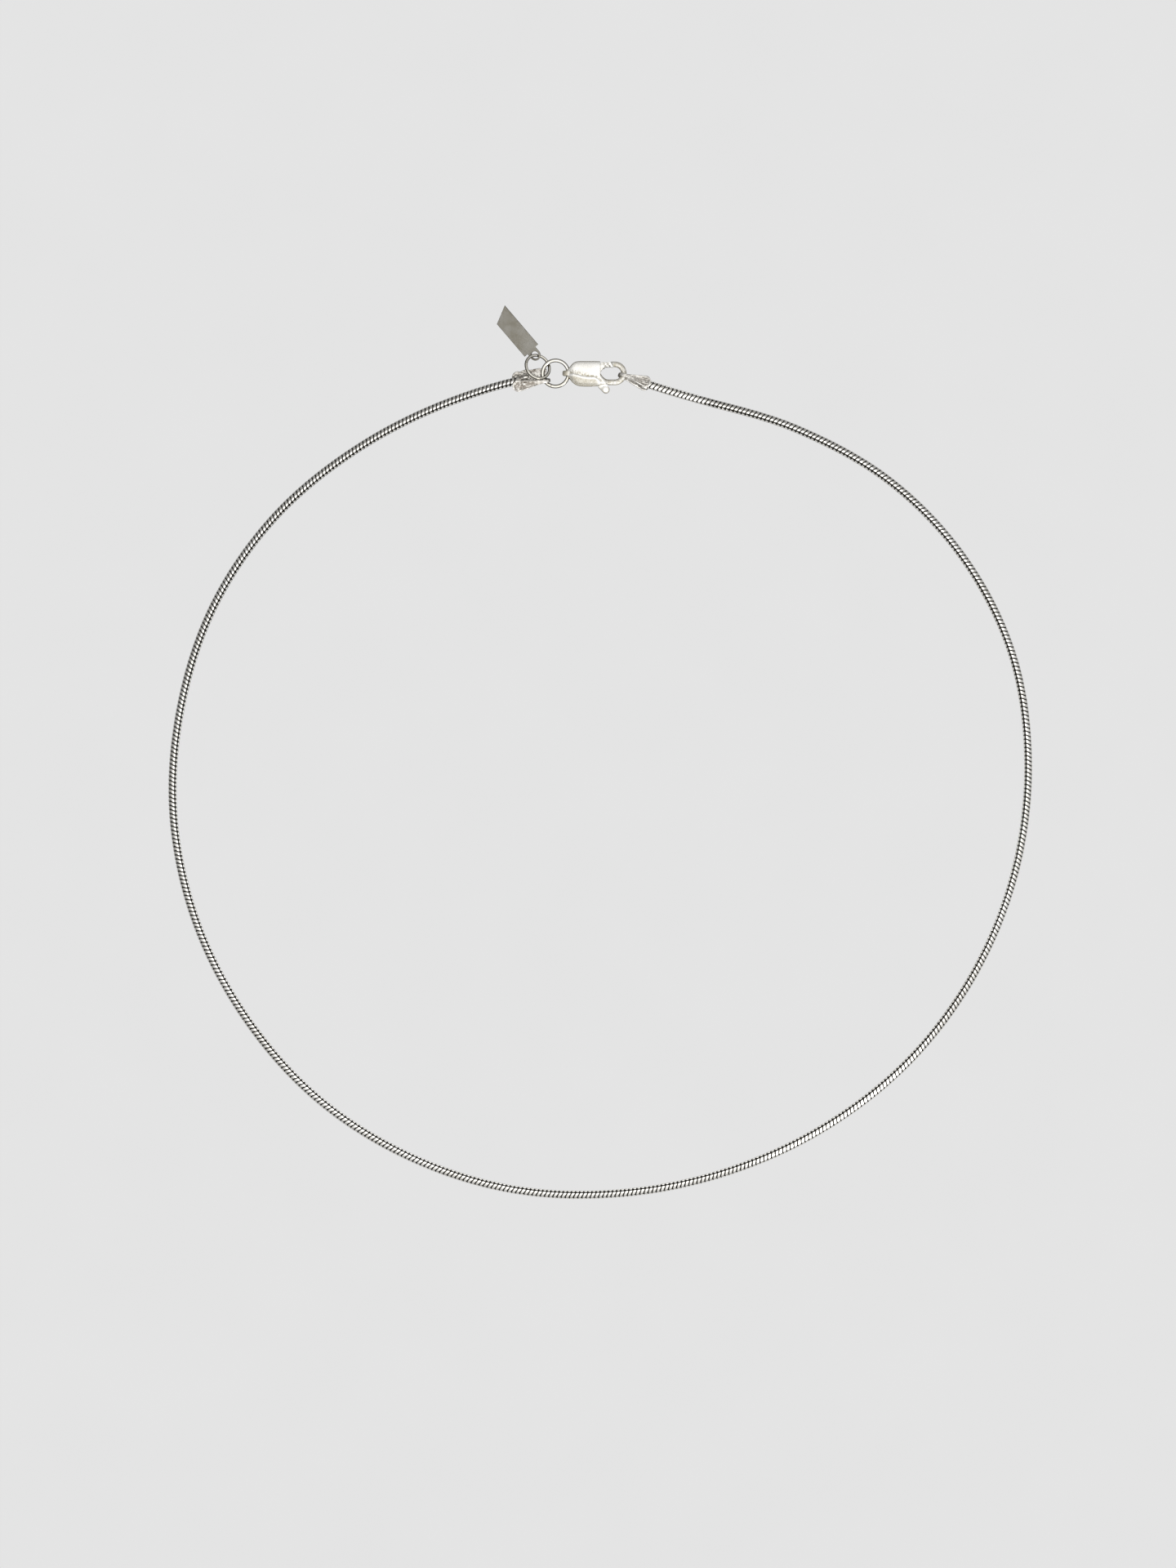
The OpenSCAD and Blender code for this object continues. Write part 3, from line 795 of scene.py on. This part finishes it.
def tag_blank(width=3.4, length=8.9, slant=1.45, hole=0.65, rim=0.35, thick=0.26, edge=0.08):
    near, half = hole + rim, width / 2
    tab = [(-near * math.sin(a), near * math.cos(a)) for a in np.radians(np.linspace(0, 180, 25))]
    outline = [(near, -half), (near + length, -half), (near + length - slant, half), (near, half),
               (near, near)] + tab + [(near, -near)]
    pierced = [(hole * math.cos(a), -hole * math.sin(a)) for a in round_turn(36)]
    curve = bpy.data.curves.new("tag_blank", "CURVE")
    curve.dimensions, curve.fill_mode = "2D", "BOTH"
    curve.extrude, curve.bevel_depth, curve.bevel_resolution = thick / 2 - edge, edge, 3
    curve.offset = -edge
    for loop in (outline, pierced):
        spline = curve.splines.new("POLY")
        spline.points.add(len(loop) - 1)
        for point, (x, y) in zip(spline.points, loop):
            point.co = (x, y, 0, 1)
        spline.use_cyclic_u = True
    blank = add_object("tag_blank", curve)
    mesh = blank.to_mesh()
    points = np.array([v.co[:] for v in mesh.vertices])
    faces = [tuple(face.vertices) for face in mesh.polygons]
    blank.to_mesh_clear()
    bpy.data.objects.remove(blank)
    return points, faces


tag_silver = silver("tag_silver", clean=0.3, dull=0.23, warmth=0.11, smoothest=0.3, roughest=0.5,
                    patch=500.0, mark=3000.0, bump=0.4)
tag_points, tag_faces = tag_blank()
tag_points = turned(turned(tag_points, x=TAG_ROLL, y=TAG_DIP), z=TAG_HEADING) + TAG_HOLE
# The plate's upright sides get painted shade.
make_piece("tag_plate", tag_points, tag_faces, tag_silver, "necklace", "tag",
           sides=0.6)

# %% [markdown]
# ## Clasp
# A lobster clasp is cast from wax: a fat rounded body, drawn out at one end into an eye and at the
# other into a hook. Sharp CAD solids can't give its soft joins, and hand sculpting can't be
# repeated by a script. So the body is lofted through the same table of sections as in the CAD
# source, the hook is a bent tube, and both are melted together. The room for the lever is cut last,
# after the smoothing, so that the mouth keeps its crisp edges. All of it is drawn from the middle
# of the eye, with the hook along X.

# %% Sections of the clasp
EYE = np.array([-5.69, 65.6925, 1.45])
BODY_L, BODY_W, BODY_T = 5.65, 4.38, 2.9
HOOK_R, HOOK_REACH = 1.56, 2.53
BODY_ALONG = (-0.03, 0.05, 0.13, 0.235, 0.33, 0.5, 0.7, 0.88, 1)
BODY_TOP = (0.13, 0.23, 0.355, 0.45, 0.475, 0.478, 0.478, 0.478, 0.47)
BODY_BOTTOM = (0.12, 0.21, 0.34, 0.445, 0.495, 0.52, 0.523, 0.523, 0.51)
BODY_THICK = (0.5, 0.66, 0.84, 0.95, 0.99, 1, 1, 0.98, 0.94)
PIVOT = np.array([4.8, -0.14, 0.0])


def eased(stations, table, at):
    """A smooth curve through a table of values at stations."""
    x, y = np.array(stations, float), np.array(table, float)
    slope = np.gradient(y, x)
    i = np.clip(np.searchsorted(x, at) - 1, 0, len(x) - 2)
    h = x[i + 1] - x[i]
    t = (at - x[i]) / h
    a = 2 * t**3 - 3 * t**2 + 1
    return (a * y[i] + (t**3 - 2 * t**2 + t) * h * slope[i] + (1 - a) * y[i + 1]
            + (t**3 - t**2) * h * slope[i + 1])


def rounded_section(x, low, high, thick, upper=4.2, lower=3.2, sides=64):
    """A flattened ring across the clasp, squarer towards the hook's side than the thumb's."""
    a = round_turn(sides)
    power = np.where(np.cos(a) > 0, 2 / upper, 2 / lower)
    c, z = squarish(np.cos(a), power), thick * squarish(np.sin(a), power)
    widest = low + 0.56 * (high - low)
    y = np.where(c > 0, widest + c * (high - widest), widest + c * (widest - low))
    return np.stack([x + 0 * a, y, z], -1)


def clasp_shell():
    share = np.linspace(BODY_ALONG[0], 1, 60)
    top, bottom, thick = (eased(BODY_ALONG, t, share) for t in (BODY_TOP, BODY_BOTTOM, BODY_THICK))
    return loft(np.array([rounded_section(BODY_L * s, -BODY_W * b, BODY_W * t, BODY_T / 2 * k)
                          for s, t, b, k in zip(share, top, bottom, thick)]))


def clasp_root():
    """The swelling that carries the hook's lower arm out of the body."""
    at = np.linspace(4.9, 7.7, 30)
    stations = (4.9, 5.3, 5.65, 6.05, 6.45, 6.8, 7.2, 7.7)
    high = eased(stations, (0.3, 0.3, 0.1, -0.52, -0.9, -1.04, -1.08, -1.08), at)
    low = eased(stations, (-2.1, -2.14, -2.14, -2.12, -2.1, -2.08, -2.06, -2.04), at)
    thick = eased(stations, (1.3, 1.32, 1.3, 1.2, 0.98, 0.74, 0.56, 0.48), at)
    return loft(np.array([rounded_section(*values, 2.3, 2.3, 32)
                          for values in zip(at, low, high, thick)]))


print("shell", len(clasp_shell()[0]), "points, root", len(clasp_root()[0]), "points")

# %% [markdown]
# The hook is a wire, so it is swept as a tube along its path. It has to leave the lever's gate
# free: the gate swings on a circle about the pivot, so the hook's tip is cut to a slightly larger
# circle. The eye is a short piece of tube seen from the side, a loft closed on itself.

# %% Hook and eye
HOOK_WIRE = 0.49
EYE_REACH, EYE_WALL, EYE_HALF = 0.72, 0.2, 0.46


def clasp_hook(sides=24):
    """A round wire, swept along the hook's path in the clasp's middle plane."""
    centre = BODY_L + HOOK_REACH
    bend = np.radians(np.linspace(-90, 90, 40))
    path = [(BODY_L + 0.6 + 0.1 * k, -HOOK_R, 0) for k in range(19)]
    path += [(centre + HOOK_R * math.cos(a), HOOK_R * math.sin(a), 0) for a in bend]
    path += [(centre - 0.1 * k, HOOK_R, 0) for k in range(1, 8)]
    path = np.array(path, float)
    way = unit(np.gradient(path, axis=0))
    side = np.stack([-way[:, 1], way[:, 0], 0 * way[:, 0]], -1)
    a = round_turn(sides)[None, :, None]
    return loft(path[:, None] + HOOK_WIRE * (np.cos(a) * side[:, None]
                                             + np.sin(a) * np.array([0, 0, 1.0])))


def clasp_eye():
    a, b = round_turn(48)[:, None], round_turn(20)[None, :]
    across = EYE_HALF * squarish(np.cos(b), 0.7)
    reach = EYE_REACH + EYE_WALL * np.sin(b)
    rings = np.stack([reach * np.cos(a), across + 0 * a, reach * np.sin(a)], -1)
    return loft(rings, closed=True)


print("hook", len(clasp_hook()[0]), "points, eye", len(clasp_eye()[0]), "points")

# %% [markdown]
# The room for the lever is cut to the CAD's own outline, so that the lever has the same play. It is
# three simple solids: the slot that the lever lies in, the curved path of its gate past the hook's
# tip, and the bore of the eye, which the end of the body would otherwise fill.

# %% Room for the lever
SLOT_HALF = 0.68
GATE_INNER, GATE_OUTER = 2.45, 3.46
EYE_BORE = 0.52


def lever_room():
    p = PIVOT[:2]
    nub, arm, side = np.array([2.32, -2.29]), np.array([0.37, 0.25]), PIVOT[:2] + (0.14, 0.09)
    outline = [p + (-1.05, 0.4), p + (-1.05, -0.3), p + (-0.59, -1.3), p + (-0.59, -2.99),
               (side[0] + nub[0], p[1] - 2.99), side + nub, side + arm + 0.41 * (nub - arm),
               p + (1.4, -0.16), p + (1.4, 1.75), p + (-0.3, 1.75)]
    return slab([tuple(q) for q in outline], -SLOT_HALF, SLOT_HALF)


def gate_path():
    a = np.radians(np.linspace(12, 58, 40))
    arc = np.stack([np.cos(a), np.sin(a)], -1)
    outline = np.vstack([GATE_OUTER * arc, GATE_INNER * arc[::-1]]) + PIVOT[:2]
    return slab(outline, -SLOT_HALF, SLOT_HALF)


def bore():
    return loft([[(EYE_BORE * math.cos(a), y, EYE_BORE * math.sin(a)) for a in round_turn(32)]
                 for y in (3.0, -3.0)])


body_points, body_faces = melted(*joined(clasp_shell(), clasp_hook(), clasp_root(), clasp_eye()),
                                 voxel=0.06, rounds=4,
                                 cut=joined(lever_room(), gate_path(), bore()))
print("cast body", len(body_points), "points")

# %% [markdown]
# The crease is where the wax model's two halves met: a soft valley from the tip to the mouth,
# turning down to the root of the hook, with a raised lip under it. It is drawn as a line, and each
# point of the skin moves by its distance from that line. Hand finishing leaves faint ripples and
# scratches, and the scratches are darkened as real marks. The same sums say where shade is painted
# on the cast: in the valley, on the lower flank, on the wire of the hook, in the eye, and at the
# hook's cut tip.

# %% Clasp body
CREASE = np.array([(0.1, 0.05), (0.9, 0.0), (1.8, -0.22), (2.7, -0.45), (3.8, -0.55), (4.9, -0.6),
                   (5.55, -1.1), (6.3, -1.9)])
# In mm: the valley's depth, its lip's height, the flank's fall for each mm, scratches and ripples
VALLEY, LIP, FALL, SCRATCH, RIPPLE = 0.15, 0.045, 0.1, 0.03, 0.014
# How much painted shade each of these places gets
IN_VALLEY, ON_FLANK, ON_WIRE, IN_EYE, AT_TIP = 0.9, 0.7, 0.48, 0.7, 0.9


def beside(line, points):
    """How far each point is to the left of a 2-D line, seen along it, and its place along it."""
    best = np.full(len(points), 9.0)
    offset, place = np.zeros(len(points)), np.zeros(len(points))
    for i in range(len(line) - 1):
        step = line[i + 1] - line[i]
        t = np.clip(((points[:, :2] - line[i]) @ step) / (step @ step), 0, 1)
        gap = points[:, :2] - line[i] - t[:, None] * step
        size = np.hypot(*gap.T)
        nearer = size < best
        best = np.where(nearer, size, best)
        offset = np.where(nearer, np.sign(step[0] * gap[:, 1] - step[1] * gap[:, 0]) * size, offset)
        place = np.where(nearer, (i + t) / (len(line) - 1), place)
    return offset, place


def work_clasp(points):
    """Presses the crease, its lip and finishing marks; paints shade, and darkens the scratches."""
    x, y, z = points.T
    offset, place = beside(CREASE, points)
    outer = fade(np.abs(z), 0.75, 0.15)
    ends = fade(place, 0, 0.08) * fade(place, 1, -0.1)
    rough = ripple(points, 0.4)
    wander = offset + 0.07 * ripple(points * (1.0, 0.2, 1.0), 0.7)
    valley = np.exp(-(wander / 0.17) ** 2) * (1 + 0.4 * rough)
    lip = np.exp(-((wander + 0.3) / 0.14) ** 2) * (1 + 0.5 * rough)
    slope = np.clip(-offset - 0.35, 0, 1.2) * fade(x, 5.4, -0.6)
    scratched = np.clip(1 - np.abs(offset - 0.28) / 0.42, 0, 1) * fade(x, 4.2, -1.2)
    hatch = ripple(points * (1.0, 0.25, 1.0), 0.13)
    down = outer * ends * (VALLEY * valley - LIP * lip + FALL * slope + SCRATCH * scratched * hatch)
    down += outer * RIPPLE * ripple(points * (1.0, 0.35, 1.0), 0.25)
    moved = points.copy()
    moved[:, 2] -= np.sign(z) * down
    # Painted shade in the valley, on the lower flank, on the hook's wire, in the eye and in the gap
    # at the hook's cut tip; the scratches beside the valley are real marks, darkened too.
    dull = IN_VALLEY * np.exp(-((wander - 0.04) / 0.12) ** 2) * np.clip(0.7 + rough, 0, 1)
    dull += IN_VALLEY * scratched * np.clip(0.45 + 1.5 * hatch, 0, 1)
    flank = ON_FLANK * fade(offset, -0.4, -0.25) * fade(x, 5.6, -0.8)
    flank *= np.clip(0.85 + 0.25 * rough + 0.5 * hatch, 0, 1)
    wire = ON_WIRE * fade(x, 6.0, 0.6) * np.clip(0.8 + 1.2 * rough, 0.2, 1.6)
    eye = IN_EYE * fade(x, 0.35, -0.5)
    from_pin = np.hypot(x - PIVOT[0], y - PIVOT[1])
    tip = AT_TIP * (y > 0.9) * (x > 6.5) * fade(from_pin, GATE_OUTER + 0.1, -0.08)
    masks = [outer * ends * dull, flank, wire, eye, tip]
    return moved, np.clip(np.max(masks, axis=0), 0, 1)


body_points, body_deep = work_clasp(body_points)
# The cast's upright sides get painted shade.
make_piece("clasp_body_cast", body_points + EYE, body_faces, clasp_silver, "necklace",
           "clasp_body", deep=body_deep, sharp=40, sides=0.9)

# %% [markdown]
# ## Lever
# The lever turns on a pin inside the body, so its exact outline matters: it may touch nothing on
# its way. The safe choice is to start from the CAD solid itself. A copy of its mesh is melted and
# smoothed, which rounds its corners off, and all that is then added is pressed in: cast lumps on
# the gate and a bevel round the nub. Only a drop of metal behind the gate is new.

# %% Clasp lever
NUB = (1.82, -2.69)
GATE_MIDDLE = (2.2, 1.6, 0.0)
LUMP_DEPTH, BEVEL_DEPTH = 0.15, 0.1


def softened_lever():
    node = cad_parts["clasp_lever"]
    points = np.array([v.co[:] for v in node.data.vertices]) / MM
    faces = [tuple(face.vertices) for face in node.data.polygons]
    stop = ball(EYE + PIVOT + (1.4, 1.08, 0.0), (0.24, 0.22, 0.42))
    points, faces = melted(*joined((points, faces), stop), voxel=0.04, rounds=7)
    x, y, z = (points - EYE - PIVOT).T
    from_pin, from_nub = np.hypot(x, y), np.hypot(x - NUB[0], y - NUB[1])
    gate = fade(y, 1.0, 0.25) * fade(x, 1.05, 0.2)
    lumps = 0.5 + 0.6 * ripple(points, 0.3) + 0.3 * np.sin(8 * x + 5 * y)
    press = LUMP_DEPTH * gate * np.clip(lumps, 0, 1.2) * fade(from_pin, 3.2, -0.3)
    points = points - unit(points - (np.array(GATE_MIDDLE) + EYE + PIVOT)) * press[:, None]
    bevel = BEVEL_DEPTH * fade(from_nub, 0.25, 0.45) * (y < -2.1)
    points[:, 2] -= np.sign(z) * bevel * (np.abs(z) > 0.4)
    # Painted shade in the hollows between the gate's lumps, on the gate's end beside the hook's
    # tip, and round the nub's rim.
    hollows = 0.8 * gate * np.clip(1.6 * lumps - 0.6, 0, 1)
    tip = 0.9 * gate * fade(from_pin, 3.22, 0.1)
    nub_rim = 0.7 * fade(y, -2.1, -0.5) * fade(from_nub, 0.42, 0.08)
    return points, faces, np.max([hollows, tip, nub_rim], axis=0)


lever_points, lever_faces, lever_deep = softened_lever()
# The lever's upright sides get painted shade.
make_piece("clasp_lever_cast", lever_points, lever_faces, lever_silver, "lever", "clasp_lever",
           deep=lever_deep, sharp=0, sides=0.9)

# %% [markdown]
# ## Lights on the silver
# The dome alone gives no sparkle and no shadows. A large softbox at the lower right lets its
# shadows fall to the upper left. A round light hangs low over the middle of the loop: every scale
# that leans towards the middle reflects it and turns white, all the way round, and the scales that
# lean outwards stay grey. No light high above could do that on all sides at once.

# %% Softboxes
def softbox(name, place, size, radiance, aim=(0, 0, 0)):
    """A round area light of a given brightness in the silver, whatever its size."""
    data = bpy.data.lights.new(name, "AREA")
    data.shape, data.size = "DISK", size
    data.energy = radiance * math.pi * math.pi * size ** 2 / 4
    light = add_object(name, data)
    light.location = place
    way = np.array(place) - np.array(aim)
    level = math.hypot(way[0], way[1])
    facing = math.atan2(way[0], -way[1]) if level else 0
    light.rotation_euler = (math.atan2(level, way[2]), 0, facing)
    light.visible_camera = False


softbox("side_softbox", place=(0.3, -0.42, 0.3), size=0.25, radiance=6.0)
softbox("low_round_light", place=(0, -0.007, 0.11), size=0.21, radiance=1.06, aim=(0, -0.007, 0))
